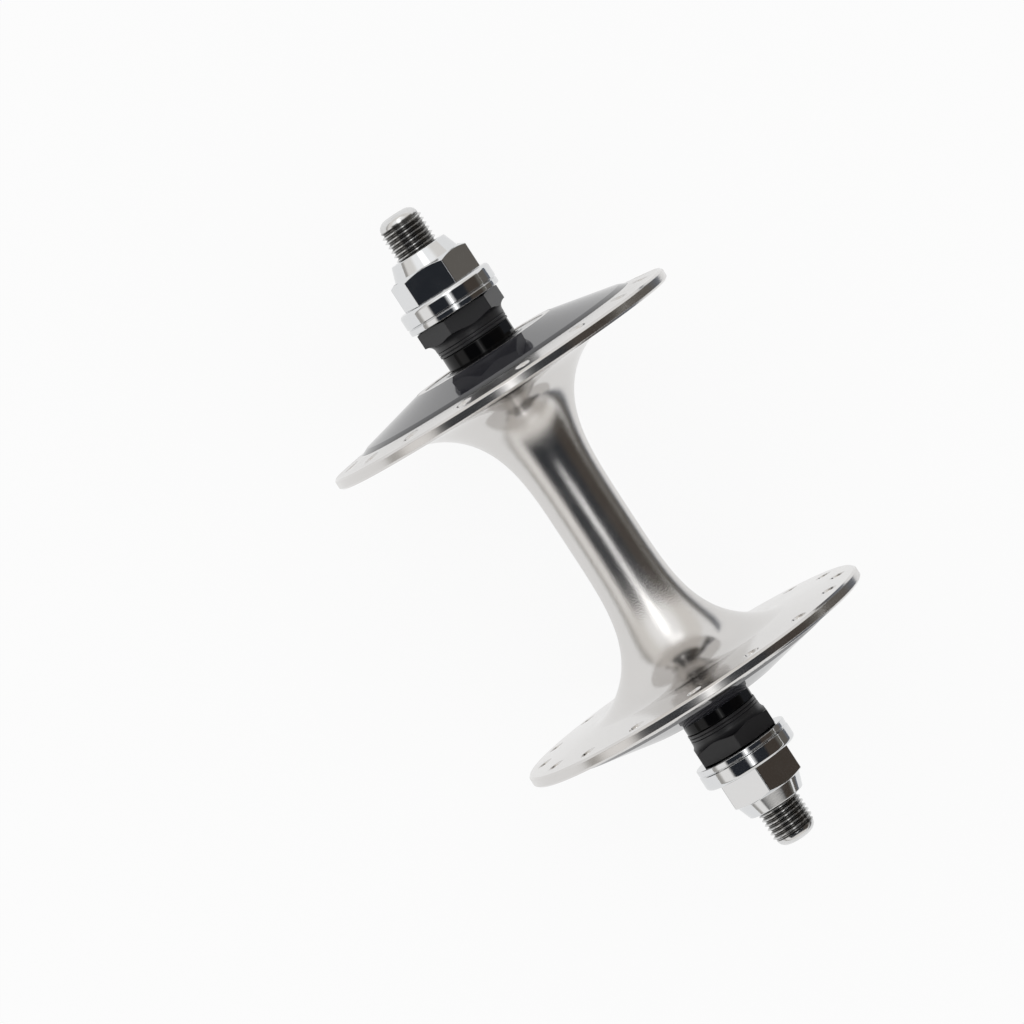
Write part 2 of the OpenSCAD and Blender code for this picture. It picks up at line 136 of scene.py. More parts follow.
# Axle, with a metric thread of 1 mm pitch
THREAD_PITCH = 1.0
THREAD_DEPTH = 0.6134 * THREAD_PITCH
THREAD_LEN = 42.0
THREAD_FADE_IN = 1.0
THREAD_FADE_OUT = 0.6
SHANK_R = 4.15
TIP_R = 4.1
TIP_LEN = 1.8
CENTRE_HOLE_R = 1.5
CENTRE_HOLE_DEPTH = 6.0
CENTRE_HOLE_MOUTH = 0.25
KEY_FLAT = 3.9

# Locknut and key washer
LOCKNUT_FLAT_R = 8.0
LOCKNUT_CORNER = 0.25
LOCKNUT_HEX_LEN = 3.2
NECK_R = 7.6
HOLLOW_R = 1.5
LOCKNUT_CHAMFER = 0.2
LOCKNUT_CROWN = 0.05
LOCKNUT_MOUTH = 0.4
LOCKNUT_EDGE = 0.07
KEY_GROOVE = 0.25

# Captive washer and nut
NUT_FLAT_R = 7.5
NUT_CORNER = 0.3
NUT_HEX_LEN = 5.7
NUT_CHAMFER = np.tan(np.radians(26))
NUT_EDGE = 0.08
NUT_GAP = 0.05
NUT_MOUTH = 0.6
COLLAR_R = 7.0
COLLAR_FOOT = 0.15
COLLAR_END_R = 5.95
SPIGOT_R = 6.2
SPIGOT_LIP = 0.5
SPIGOT_LIP_T = 0.7
SWIVEL_GAP = 0.12
WASHER_PLAY = 0.4
WASHER_LIP_T = 1.1
WASHER_LIP_STEP = 0.1
WASHER_GROOVE = 0.35
WASHER_ROUND = 0.8

# Turns of the hexagons about the axle, in degrees
LOCKNUT_TURN = {"left": 30, "right": 9}
NUT_TURN = {"left": 30, "right": -11}
CONE_TURN = {"left": 60, "right": 60}

# Points closer than this are one point. The odd size keeps round numbers off the rounding's edge
WELD = 0.000137


def circle(steps, start=0.0):
    """Angles once round the axis. The last one falls on the first."""
    return start + np.linspace(0, 2 * np.pi, steps + 1)


ROUND = circle(128)
SHELL_ROUND = circle(12 * HOLES, HOLE_PHASE)
THREAD_ROUND = circle(60)


# Profiles
def run(corners, closed=False, steps=5):
    """Straight runs whose corners are rounded. A corner is [radius, distance, rounding].

    The arc at a corner touches both runs, and its normal turns steadily from one run's to the
    next one's. With no rounding the same normals stand on one point, which is a sharp edge."""
    corners = np.array(corners, float)
    at, rounding = corners[:, :2], corners[:, 2]
    coming, going = at - np.roll(at, 1, axis=0), np.roll(at, -1, axis=0) - at
    if not closed:
        coming[0], going[-1] = going[0], coming[-1]
    coming /= np.linalg.norm(coming, axis=1)[:, None]
    going /= np.linalg.norm(going, axis=1)[:, None]
    turn = np.arctan2(coming[:, 0] * going[:, 1] - coming[:, 1] * going[:, 0],
                      (coming * going).sum(1))
    facing = np.arctan2(-coming[:, 0], coming[:, 1])
    start = at - coming * (rounding * np.tan(np.abs(turn) / 2))[:, None]
    facing = facing[:, None] + turn[:, None] * np.linspace(0, 1, steps)
    normals = np.stack([np.cos(facing), np.sin(facing)], axis=2)
    arm = (np.sign(turn) * rounding)[:, None, None]
    points = start[:, None] + arm * (normals - normals[:, :1])
    points, normals = points.reshape(-1, 2), normals.reshape(-1, 2)
    if closed:
        points, normals = np.vstack([points, points[:1]]), np.vstack([normals, normals[:1]])
    return points, normals


def oval(middle, reach, start, end, steps=12):
    """Arc of an oval about its middle [radius, distance], from one angle to another."""
    angles = np.radians(np.linspace(start, end, steps + 1))
    way = np.stack([np.cos(angles), np.sin(angles)], axis=1)
    normals = way / np.array(reach)
    return way * reach + middle, normals / np.linalg.norm(normals, axis=1)[:, None]


def join(*profiles):
    """The profiles one after the other."""
    return tuple(np.vstack(rows) for rows in zip(*profiles))


# Sheets
def lathe(profile, angles=ROUND):
    """The profile carried round the axis: x = r cos a, y as it is, z = r sin a."""
    def carried(rows):
        radius, along = rows[:, :1], rows[:, 1:]
        return np.stack([radius * np.cos(angles), along + 0 * angles,
                         radius * np.sin(angles)], axis=2)
    return carried(profile[0]), carried(profile[1])


def ring(angles, radius, along, facing=None, lean=0):
    """One row of a sheet round the axis. Its normals face outwards, and lean in degrees
    towards +Y."""
    facing = angles if facing is None else facing
    lean = np.radians(lean)
    flat = np.zeros_like(angles)
    return (np.stack([radius * np.cos(angles), flat + along, radius * np.sin(angles)], axis=1),
            np.stack([np.cos(lean) * np.cos(facing), flat + np.sin(lean),
                      np.cos(lean) * np.sin(facing)], axis=1))


def stack(*rings):
    """A sheet from its rows."""
    return tuple(np.stack(rows) for rows in zip(*rings))


def spun(sheet, degrees):
    """The sheet turned about the axis, from +X towards +Z."""
    angle = np.radians(degrees)
    matrix = np.array([[np.cos(angle), 0, np.sin(angle)], [0, 1, 0],
                       [-np.sin(angle), 0, np.cos(angle)]])
    return sheet[0] @ matrix, sheet[1] @ matrix


def at_end(sheet, end):
    """The sheet, reflected to the right end where end is -1."""
    way = np.array([1, end, 1])
    return sheet[0] * way, sheet[1] * way


def cut_flat(sheet, depth, direction=(0, 0, -1)):
    """The sheet with everything past a plane pushed back onto it. depth is the plane's distance
    from the axis."""
    points, normals = sheet
    direction = np.array(direction, float)
    past = points @ direction - depth
    cut = (past > 0)[..., None]
    return (points - np.where(cut, past[..., None] * direction, 0),
            np.where(cut, direction, normals))


def hexagon(flat_r, rounding, on_corner=5, on_flat=9):
    """Polar angles, radii and facing angles along a hexagon whose corners, at 0, 60 and so on,
    are arcs of the given rounding."""
    corner = np.radians(60 * np.arange(6))[:, None]
    facing = corner + np.radians(np.linspace(-30, 30, on_corner))
    centre = (flat_r - rounding) / np.cos(np.radians(30))
    arcs = np.stack([centre * np.cos(corner) + rounding * np.cos(facing),
                     centre * np.sin(corner) + rounding * np.sin(facing)], axis=2)
    share = np.linspace(0, 1, on_flat + 2)[1:-1, None]
    flats = arcs[:, -1:] + (np.roll(arcs, -1, axis=0)[:, :1] - arcs[:, -1:]) * share
    outline = np.concatenate([arcs, flats], axis=1).reshape(-1, 2)
    facing = np.hstack([facing, np.repeat(facing[:, -1:], on_flat, axis=1)]).ravel()
    outline, facing = np.vstack([outline, outline[:1]]), np.append(facing, facing[0])
    return np.arctan2(outline[:, 1], outline[:, 0]), np.hypot(*outline.T), facing


# Meshes
def piece(name, sheets, material, body, node):
    """Welds the sheets into one closed mesh with its exact normals, and seats it in the frame.

    Each quad keeps the normals of its own sheet, so an edge where two sheets meet stays crisp.
    Corners that fall together make a triangle, or drop the quad."""
    corners, shading = [], []
    for points, normals in sheets:
        quads, facing = (np.stack([grid[:-1, :-1], grid[1:, :-1], grid[1:, 1:], grid[:-1, 1:]],
                                  axis=2).reshape(-1, 4, 3) for grid in (points, normals))
        across = np.cross(quads[:, 2] - quads[:, 0], quads[:, 3] - quads[:, 1])
        if (across * facing.sum(1)).sum() < 0:
            quads, facing = quads[:, ::-1], facing[:, ::-1]
        corners.append(quads)
        shading.append(facing)
    corners, shading = np.concatenate(corners), np.concatenate(shading)
    keys = np.round(corners.reshape(-1, 3) / WELD).astype(np.int64)
    _, first, index = np.unique(keys, axis=0, return_index=True, return_inverse=True)
    faces = index.reshape(-1, 4)
    kept = faces != np.roll(faces, 1, axis=1)
    kept &= (kept.sum(1) > 2)[:, None]
    sides = kept.sum(1)
    sides = sides[sides > 0]
    mesh = bpy.data.meshes.new(name)
    mesh.vertices.add(len(first))
    mesh.vertices.foreach_set("co", (corners.reshape(-1, 3)[first] * MM).ravel())
    mesh.loops.add(int(sides.sum()))
    mesh.loops.foreach_set("vertex_index", faces[kept].astype(np.int32))
    mesh.polygons.add(len(sides))
    mesh.polygons.foreach_set("loop_start", np.append(0, np.cumsum(sides)[:-1]).astype(np.int32))
    mesh.polygons.foreach_set("use_smooth", np.ones(len(sides), bool))
    mesh.update(calc_edges=True)
    mesh.normals_split_custom_set(shading[kept])
    mesh.materials.append(material)
    made = bpy.data.objects.new(name, mesh)
    bpy.context.scene.collection.objects.link(made)
    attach(made, body)
    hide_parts(node)


# Hub shell
def fallen(radius):
    """How far the flange's inner slope has fallen at this radius, from the rim inwards."""
    return (RIM_R - RIM_EDGE - radius) * INNER_SLOPE


def risen(radius):
    """How far the flange's outer slope has risen at this radius, from the rim inwards."""
    return (RIM_R - RIM_EDGE - radius) * RING_SLOPE


RIM_IN_Y = RIM_MIDDLE_Y - RIM_T / 2
RIM_OUT_Y = RIM_MIDDLE_Y + RIM_T / 2
RING_Y = RIM_OUT_Y + risen(RING_R)
SHOULDER_R = RING_R - SHOULDER_W
SHOULDER_Y = RING_Y + SHOULDER_RISE
FIELD_IN_R = HOLE_CIRCLE_R - HOLE_FIELD
FIELD_OUT_R = HOLE_CIRCLE_R + HOLE_FIELD


def trumpet(steps=72):
    """Barrel and trumpet: a quarter of a rounded oblong |x|^p + |y|^q = 1, sheared so that its
    flat end lies on the flange's inner slope."""
    # The power makes the steps along the barrel more even
    a = np.pi / 2 * np.linspace(0, 1, steps + 1) ** 1.35
    across, along = np.cos(a).clip(0), np.sin(a).clip(0)
    radius = TRUMPET_R - (TRUMPET_R - BARREL_R) * across ** (2 / TRUMPET_SWEEP)
    foot = fallen(BARREL_R)
    y = foot + (RIM_IN_Y - foot) * along ** (2 / TRUMPET_GRIP) - fallen(radius)
    points = np.stack([radius, y], axis=1)
    # The curve's slope, from the oblong's own gradient and the shear
    out = along ** (2 - 2 / TRUMPET_GRIP) / (RIM_IN_Y - foot) * TRUMPET_GRIP
    up = across ** (2 - 2 / TRUMPET_SWEEP) / (TRUMPET_R - BARREL_R) * TRUMPET_SWEEP
    normals = np.stack([up + INNER_SLOPE * out, -out], axis=1)
    return points, normals / np.linalg.norm(normals, axis=1)[:, None]


def hole_field(level, lean):
    """The flange's face round one spoke hole, at angle 0: rings that open from the hole's circle
    to the edge of its sector. level(radius) is the face's distance along Y, and lean is the
    tangent of its slope."""
    half = np.pi / HOLES
    turn = np.linspace(-half, half, 13)
    radii = np.linspace(FIELD_IN_R, FIELD_OUT_R, 7)
    sides = [(FIELD_OUT_R, turn), (radii[::-1], half), (FIELD_IN_R, turn[::-1]), (radii, -half)]
    edge = np.vstack([np.stack(np.broadcast_arrays(r * np.cos(a), r * np.sin(a)), axis=1)[:-1]
                      for r, a in sides])
    edge = np.vstack([edge, edge[:1]])
    centre = np.array([HOLE_CIRCLE_R, 0])
    way = (edge - centre) / np.linalg.norm(edge - centre, axis=1)[:, None]
    lip = centre + way * (HOLE_R + HOLE_SINK + HOLE_EDGE)
    # The power crowds the rings round the hole
    share = (np.linspace(0, 1, 7) ** 1.4)[:, None, None]
    flat = lip + (edge - lip) * share
    radius = np.linalg.norm(flat, axis=2)
    points = np.stack([flat[..., 0], level(radius), flat[..., 1]], axis=2)
    normals = np.stack([flat[..., 0] / radius * lean, np.ones_like(radius),
                        flat[..., 1] / radius * lean], axis=2)
    return points, normals / np.linalg.norm(normals, axis=2)[..., None], way


def hole_wall(way, inner, outer):
    """Wall of one spoke hole, at angle 0, with the countersink at both of the flange's faces.
    way holds the directions round the hole's centre."""
    # Reach past the hole's edge, depth below the face, and the normal's lean in degrees
    steps = ((HOLE_SINK + HOLE_EDGE, 0, 90), (HOLE_SINK - HOLE_EDGE, 0.06, 45),
             (0.06, HOLE_SINK - 0.04, 45), (0, HOLE_SINK + 0.08, 0))
    rows = []
    for level, sign in ((outer, 1), (inner, -1)):
        middle = level(HOLE_CIRCLE_R)
        for reach, depth, lean in steps:
            flat = np.array([HOLE_CIRCLE_R, 0]) + way * (HOLE_R + reach)
            surface = level(np.linalg.norm(flat, axis=1))
            weight = reach / HOLE_SINK
            y = surface * min(weight, 1) + middle * (1 - min(weight, 1)) - sign * depth
            lean = np.radians(lean)
            points = np.stack([flat[:, 0], y, flat[:, 1]], axis=1)
            normals = np.stack([-way[:, 0] * np.cos(lean), 0 * y + sign * np.sin(lean),
                                -way[:, 1] * np.cos(lean)], axis=1)
            rows.append((points, normals))
    return stack(*rows[:4], *rows[:3:-1])


def hub_shell(material):
    """Barrel with two trumpets, each ending in a drilled flange, a boss and a stepped bore."""
    def inner(radius):
        return RIM_IN_Y - fallen(radius)

    def outer(radius):
        return RIM_OUT_Y + risen(radius)

    inside = [[CAP_R + FIT, BOSS_Y, 0.15], [CAP_R + FIT, CAP_IN_Y, 0], [CUP_R + FIT, CAP_IN_Y, 0],
              [CUP_R + FIT, CUP_BACK_Y, 0], [CUP_R - CUP_SHOULDER, CUP_BACK_Y, 0],
              [CUP_R - CUP_SHOULDER, CUP_BACK_Y - CUP_WEB_T, 0],
              [BORE_R, CUP_BACK_Y - CUP_WEB_T - FLARE_LEN, 0], [BORE_R, 0, 0]]
    barrel = join(trumpet(), run([[TRUMPET_R, inner(TRUMPET_R), 0],
                                  [FIELD_IN_R, inner(FIELD_IN_R), 0]]))
    rim = run([[FIELD_OUT_R, inner(FIELD_OUT_R), 0], [RIM_R - RIM_EDGE, RIM_IN_Y, 0.15],
               [RIM_R, RIM_IN_Y + RIM_EDGE, 0.15], [RIM_R, RIM_OUT_Y - RIM_EDGE, 0.15],
               [RIM_R - RIM_EDGE, RIM_OUT_Y, 0.15], [FIELD_OUT_R, outer(FIELD_OUT_R), 0]])
    face = run([[FIELD_IN_R, outer(FIELD_IN_R), 0], [RING_R, RING_Y, 0.06],
                [RING_R, RING_Y - RING_T, 0], [SHOULDER_R, SHOULDER_Y - RING_T, 0],
                [BOSS_R, BOSS_Y - RING_T, 0], [BOSS_R, BOSS_Y, 0.25]] + inside)
    sheets = [lathe(profile, SHELL_ROUND) for profile in (barrel, rim, face)]
    inner_field = hole_field(inner, -INNER_SLOPE)
    outer_field = hole_field(outer, RING_SLOPE)
    way = inner_field[2]
    field = [(inner_field[0], -inner_field[1]), outer_field[:2], hole_wall(way, inner, outer)]
    both = []
    for end in (1, -1):
        both += [at_end(sheet, end) for sheet in sheets]
        first = np.degrees(HOLE_PHASE) + (0 if end > 0 else 180 / HOLES)
        both += [at_end(spun(sheet, first + hole * 360 / HOLES), end)
                 for sheet in field for hole in range(HOLES)]
    piece("polished_hub_shell", both, material, "shell", "hub_shell")


# Pieces on the shell
def face_ring(side, end, material):
    """Thin ring in the recess of the flange's face, with a steeper outer shoulder."""
    drop = RING_T - FIT
    top = [[RING_R - FIT, RING_Y, 0.12], [SHOULDER_R, SHOULDER_Y, 0.5], [BOSS_R + FIT, BOSS_Y, 0.1]]
    under = [[radius, y - drop, 0] for radius, y, _ in top[::-1]]
    sheet = lathe(run(top + under, closed=True), SHELL_ROUND)
    piece(side + "_ring_film", [at_end(sheet, end)], material, "shell",
          side + "_face_ring")


def dust_cap(side, end, material):
    """Pressed cap: a face with a rolled inner edge and a skirt down to its ledge."""
    hole_r, skirt_r = CONE_R + CAP_GAP, CAP_R - CAP_SKIRT_T
    top = CAP_TOP_Y - CAP_ROLL
    under = top - CAP_T
    profile = run([[skirt_r, CAP_IN_Y, 0], [CAP_R, CAP_IN_Y, 0], [CAP_R, top, 0.25],
                   [hole_r + CAP_ROLL_FOOT, top, 0.3], [hole_r + CAP_ROLL_TOP, CAP_TOP_Y, 0.1],
                   [hole_r, CAP_TOP_Y, 0.2], [hole_r, under, 0], [skirt_r, under, 0.2]],
                  closed=True)
    piece(side + "_pressed_cap", [at_end(lathe(profile), end)], material, "shell",
          side + "_dust_cap")


# Pieces on the axle
def thread():
    """One tooth repeated along the axle and carried round a helix: y falls by one pitch in each
    turn from +X to +Z, which is a right-hand thread. It fades out at both ends."""
    crest, root = AXLE_R, AXLE_R - THREAD_DEPTH
    start, end = AXLE_TIP_Y - THREAD_LEN, AXLE_TIP_Y - TIP_LEN
    rise = THREAD_DEPTH * np.tan(np.radians(30))
    # The crest is an eighth of the pitch wide, and low is half the root's width
    low = (THREAD_PITCH * 7 / 8 - 2 * rise) / 2
    tooth = run([[root, 0, 0], [root, low, 0.08], [crest, low + rise, 0.02],
                 [crest, THREAD_PITCH - low - rise, 0.02], [root, THREAD_PITCH - low, 0.08],
                 [root, THREAD_PITCH, 0]], steps=2)
    turns = np.arange(-1, np.ceil((end - start) / THREAD_PITCH) + 2)[:, None] * THREAD_PITCH
    radius = np.tile(tooth[0][:, 0], len(turns))[:, None]
    y = (start + turns + tooth[0][:, 1]).reshape(-1, 1) - THREAD_PITCH * THREAD_ROUND / (2 * np.pi)
    y = y.clip(start, end)
    radius = SHANK_R + (radius - SHANK_R) * ((y - start) / THREAD_FADE_IN).clip(0, 1)
    radius = TIP_R + (radius - TIP_R) * ((end - y) / THREAD_FADE_OUT).clip(0, 1)
    points = np.stack([radius * np.cos(THREAD_ROUND), y, radius * np.sin(THREAD_ROUND)], axis=2)
    facing = np.tile(tooth[1], (len(turns), 1))
    normals = np.stack([facing[:, :1] * np.cos(THREAD_ROUND), facing[:, 1:] + 0 * THREAD_ROUND,
                        facing[:, :1] * np.sin(THREAD_ROUND)], axis=2)
    return points, normals


def axle(material):
    """Plain shank, a right-hand thread at each end with a key flat, and rounded tips."""
    mouth_r = CENTRE_HOLE_R + CENTRE_HOLE_MOUTH
    bottom = AXLE_TIP_Y - CENTRE_HOLE_DEPTH
    tip = join(oval([mouth_r, AXLE_TIP_Y - TIP_LEN], [TIP_R - mouth_r, TIP_LEN], 0, 90),
               run([[mouth_r, AXLE_TIP_Y, 0],
                    [CENTRE_HOLE_R, AXLE_TIP_Y - CENTRE_HOLE_MOUTH, 0.1],
                    [CENTRE_HOLE_R, bottom, 0], [0, bottom - CENTRE_HOLE_R, 0]]))
    start = AXLE_TIP_Y - THREAD_LEN
    shank = run([[SHANK_R, -start, 0], [SHANK_R, start, 0]])
    sheets = [lathe(shank, THREAD_ROUND)]
    rim = ring(THREAD_ROUND, SHANK_R, start, lean=90)
    step = stack(rim, (cut_flat(rim, KEY_FLAT)[0], rim[1]))
    half_turn = np.array([-1, -1, 1])
    for sheet in (step, cut_flat(thread(), KEY_FLAT), cut_flat(lathe(tip, THREAD_ROUND), KEY_FLAT)):
        sheets += [sheet, (sheet[0] * half_turn, sheet[1] * half_turn)]
    piece("threaded_axle", sheets, material, "axle", "axle")


def cone(side, end, material):
    """Screwed cone: a polished cylinder with two spanner flats. Its race is an arc about the
    balls' middle, a clearance wider than they are."""
    ball_y, race_r = BOSS_Y - BALL_DEPTH, BALL_R + BALL_CLEARANCE
    mouth = np.degrees(np.arccos((CONE_R - BALL_CIRCLE_R) / race_r))
    bore_r, nose_r = AXLE_R + FIT, BALL_CIRCLE_R - race_r
    flat_y = CONE_Y - CONE_FLAT_LEN
    race = oval([BALL_CIRCLE_R, ball_y], [race_r, race_r], mouth, 180)
    race = race[0][::-1], -race[1][::-1]
    body = join(run([[bore_r, CONE_IN_Y, 0], [nose_r, CONE_IN_Y, 0.3], [nose_r, ball_y, 0]]),
                race, run([[CONE_R, race[0][-1, 1], 0], [CONE_R, flat_y, 0]]))
    head = run([[CONE_R, flat_y, 0], [CONE_R, CONE_Y, 0.3], [bore_r, CONE_Y, 0]])
    flats = lathe(head)
    for way in (1, -1):
        flats = cut_flat(flats, CONE_FLAT_R, (0, 0, way))
    step = stack((flats[0][0], np.broadcast_to([0, 1, 0], flats[0][0].shape)),
                 ring(ROUND, CONE_R, flat_y, lean=90))
    bore = run([[bore_r, CONE_Y, 0], [bore_r, CONE_IN_Y, 0]])
    sheets = [lathe(body), flats, step, lathe(bore)]
    piece(side + "_bearing_cone", [at_end(spun(s, CONE_TURN[side]), end) for s in sheets],
          material, "axle", side + "_cone")


def key_washer(side, end, material):
    """Washer with a fine groove round its middle, keyed on the axle's flat. Its bore is drawn
    round, without the key.
    """
    middle, bore_r = (KEY_WASHER_IN_Y + KEY_WASHER_Y) / 2, AXLE_R + FIT
    outside = run([[bore_r, KEY_WASHER_IN_Y, 0], [KEY_WASHER_R, KEY_WASHER_IN_Y, 0.15],
                   [KEY_WASHER_R, middle - KEY_GROOVE / 2, 0.05],
                   [KEY_WASHER_R - KEY_GROOVE, middle, 0.05],
                   [KEY_WASHER_R, middle + KEY_GROOVE / 2, 0.05],
                   [KEY_WASHER_R, KEY_WASHER_Y, 0.15], [bore_r, KEY_WASHER_Y, 0]])
    bore = run([[bore_r, KEY_WASHER_Y, 0], [bore_r, KEY_WASHER_IN_Y, 0]])
    sheets = [lathe(outside), lathe(bore)]
    piece(side + "_keyed_washer", [at_end(sheet, end) for sheet in sheets], material,
          "axle", side + "_key_washer")


def locknut(side, end, material):
    """Hexagon turned down to a neck by a hollow quarter circle. Each ray from the axle follows
    the circle until it meets the hexagon's outline, and so draws the curve on every flat. Where
    the outline lies beyond the circle, the ray runs on level."""
    angles, radius, facing = hexagon(LOCKNUT_FLAT_R, LOCKNUT_CORNER)
    edge = LOCKNUT_EDGE
    bore_r = AXLE_R + FIT
    hex_y = CLAMP_Y - LOCKNUT_HEX_LEN
    centre_r, centre_y = NECK_R + HOLLOW_R, hex_y - HOLLOW_R
    quarter = HOLLOW_R * np.pi / 2
    rim = radius - edge
    swept = np.arccos(((centre_r - rim) / HOLLOW_R).clip(0, 1))
    reach = np.where(rim < centre_r, HOLLOW_R * swept, quarter + rim - centre_r)
    rows = []
    for share in np.linspace(0, 1, 12):
        gone = reach * share
        turn = np.pi - (gone / HOLLOW_R).clip(0, np.pi / 2)
        beyond = (gone - quarter).clip(0)
        rows.append(ring(angles, centre_r + HOLLOW_R * np.cos(turn) + beyond,
                         centre_y + HOLLOW_R * np.sin(turn), lean=-np.degrees(np.pi - turn)))
    under = np.where(rim < centre_r, centre_y + HOLLOW_R * np.sin(swept), hex_y)
    top = CLAMP_Y - (radius - LOCKNUT_FLAT_R) * LOCKNUT_CHAMFER - LOCKNUT_CROWN
    rows += [ring(angles, radius, under + edge, facing), ring(angles, radius, top - edge, facing),
             ring(angles, radius - edge, top, lean=80),
             ring(angles, LOCKNUT_FLAT_R - edge, CLAMP_Y, lean=90),
             ring(angles, bore_r + LOCKNUT_MOUTH, CLAMP_Y, lean=90)]
    neck = run([[bore_r, KEY_WASHER_Y, 0], [NECK_R, KEY_WASHER_Y, 0.2], [NECK_R, centre_y, 0]])
    bore = run([[bore_r + LOCKNUT_MOUTH, CLAMP_Y, 0], [bore_r, CLAMP_Y - LOCKNUT_MOUTH, 0],
                [bore_r, KEY_WASHER_Y, 0]])
    sheets = [lathe(neck, angles), stack(*rows), lathe(bore, angles)]
    piece(side + "_black_locknut",
          [at_end(spun(sheet, LOCKNUT_TURN[side]), end) for sheet in sheets], material,
          "axle", side + "_locknut")


# Pieces that turn off the axle
def captive_washer(side, end, material):
    """Washer with a narrow lip, a groove and a broad band with a rounded shoulder. It is hollow
    inside for the nut's spigot."""
    lip_r, floor = WASHER_R - WASHER_LIP_STEP, WASHER_IN_Y + WASHER_LIP_T
    bore, pocket = SPIGOT_R + SWIVEL_GAP, SPIGOT_R + SPIGOT_LIP + SWIVEL_GAP
    ledge = floor + SPIGOT_LIP_T + 2 * SWIVEL_GAP
    profile = run([[AXLE_R + WASHER_PLAY, WASHER_IN_Y, 0.1], [lip_r, WASHER_IN_Y, 0.25],
                   [lip_r, floor, 0.12],
                   [lip_r - WASHER_GROOVE / 2, floor + WASHER_GROOVE / 2, 0.05],
                   [WASHER_R, floor + WASHER_GROOVE + WASHER_LIP_STEP, 0.15],
                   [WASHER_R, WASHER_Y, WASHER_ROUND], [bore, WASHER_Y, 0.15], [bore, ledge, 0],
                   [pocket, ledge, 0], [pocket, floor, 0], [AXLE_R + WASHER_PLAY, floor, 0]],
                  closed=True, steps=8)
    piece(side + "_swivel_washer", [at_end(lathe(profile), end)], material,
          side + "_washer", side + "_captive_washer")


def axle_nut(side, end, material):
    """Hexagon whose edge falls with the radius, as a turned chamfer cuts it, with a tapered
    collar, and a spigot that ends in a lip inside the washer."""
    angles, radius, facing = hexagon(NUT_FLAT_R, NUT_CORNER)
    edge = NUT_EDGE
    nut_in, bore_r, lip_r = WASHER_Y + NUT_GAP, AXLE_R + NUT_GAP, SPIGOT_R + SPIGOT_LIP
    collar_y = nut_in + NUT_HEX_LEN
    corner_y = collar_y - (radius - NUT_FLAT_R) * NUT_CHAMFER
    lip_y = NUT_SPIGOT_Y + SPIGOT_LIP_T
    rows = [ring(angles, SPIGOT_R, nut_in, lean=-90), ring(angles, radius - edge, nut_in, lean=-90),
            ring(angles, radius, nut_in + edge, facing),
            ring(angles, radius, corner_y - edge, facing),
            ring(angles, radius - edge, corner_y + edge * NUT_CHAMFER, lean=60),
            ring(angles, NUT_FLAT_R, collar_y, lean=60),
            ring(angles, NUT_FLAT_R - edge, collar_y, lean=90),
            ring(angles, COLLAR_R + COLLAR_FOOT, collar_y, lean=90)]
    collar = run([[COLLAR_R + COLLAR_FOOT, collar_y, 0],
                  [COLLAR_R, collar_y + COLLAR_FOOT, 0.15], [COLLAR_END_R, NUT_Y, 0.3],
                  [bore_r + NUT_MOUTH, NUT_Y, 0.1], [bore_r, NUT_Y - NUT_MOUTH, 0],
                  [bore_r, NUT_SPIGOT_Y, 0], [lip_r, NUT_SPIGOT_Y, 0.1], [lip_r, lip_y, 0.1],
                  [SPIGOT_R, lip_y, 0], [SPIGOT_R, nut_in, 0]])
    sheets = [stack(*rows), lathe(collar, angles)]
    piece(side + "_hexagon_nut",
          [at_end(spun(sheet, NUT_TURN[side]), end) for sheet in sheets], material,
          side + "_nut", side + "_axle_nut")


# Materials
def linear(colour):
    """Linear RGBA of an sRGB hex colour."""
    values = np.array([int(colour[i:i + 2], 16) for i in (1, 3, 5)]) / 255
    values = np.where(values <= 0.04045, values / 12.92, ((values + 0.055) / 1.055) ** 2.4)
    return tuple(values) + (1.0,)


def add(tree, kind, settings=(), **links):
    """Adds a node to the tree. settings are its properties, and each link names an input, where
    an underscore stands for a space, or i0, i1 for its place, and gives a value or a socket."""
    node = tree.nodes.new(kind)
    for key, value in dict(settings).items():
        setattr(node, key, value)
    for key, value in links.items():
        place = key[1:].isdigit() and key[0] == "i"
        socket = node.inputs[int(key[1:]) if place else key.replace("_", " ")]
        if isinstance(value, bpy.types.NodeSocket):
            tree.links.new(value, socket)
        else:
            socket.default_value = value
    return node


def finish_of(name, colour, metallic, roughness, **more):
    """A new material with its shader, and the tree and shader to work on."""
    material = bpy.data.materials.new(name)
    material.use_nodes = True
    tree = material.node_tree
    shader = tree.nodes["Principled BSDF"]
    shader.inputs["Base Color"].default_value = linear(colour)
    shader.inputs["Metallic"].default_value = metallic
    shader.inputs["Roughness"].default_value = roughness
    for key, value in more.items():
        shader.inputs[key.replace("_", " ")].default_value = value
    return material, tree, shader


def around_axis(tree):
    """Sockets for a point's distance from the axle's centre line and its place along it."""
    place = add(tree, "ShaderNodeTexCoord").outputs["Object"]
    parts = add(tree, "ShaderNodeSeparateXYZ", Vector=place).outputs
    flat = add(tree, "ShaderNodeCombineXYZ", X=parts["X"], Y=parts["Z"]).outputs[0]
    radius = add(tree, "ShaderNodeVectorMath", {"operation": "LENGTH"}, i0=flat).outputs["Value"]
    return place, radius, parts["Y"]


def turning_marks(tree, radius, along, spacing, seed=0.0):
    """Socket for fine rings left by the lathe: noise that changes only with radius and place.
    spacing is the lathe's feed in millimetres, drawn two or three times as wide as it is."""
    where = add(tree, "ShaderNodeCombineXYZ", X=radius, Y=along, Z=seed).outputs[0]
    return add(tree, "ShaderNodeTexNoise", Vector=where, Scale=1 / (spacing * MM), Detail=2.0,
               Roughness=0.6).outputs["Fac"]


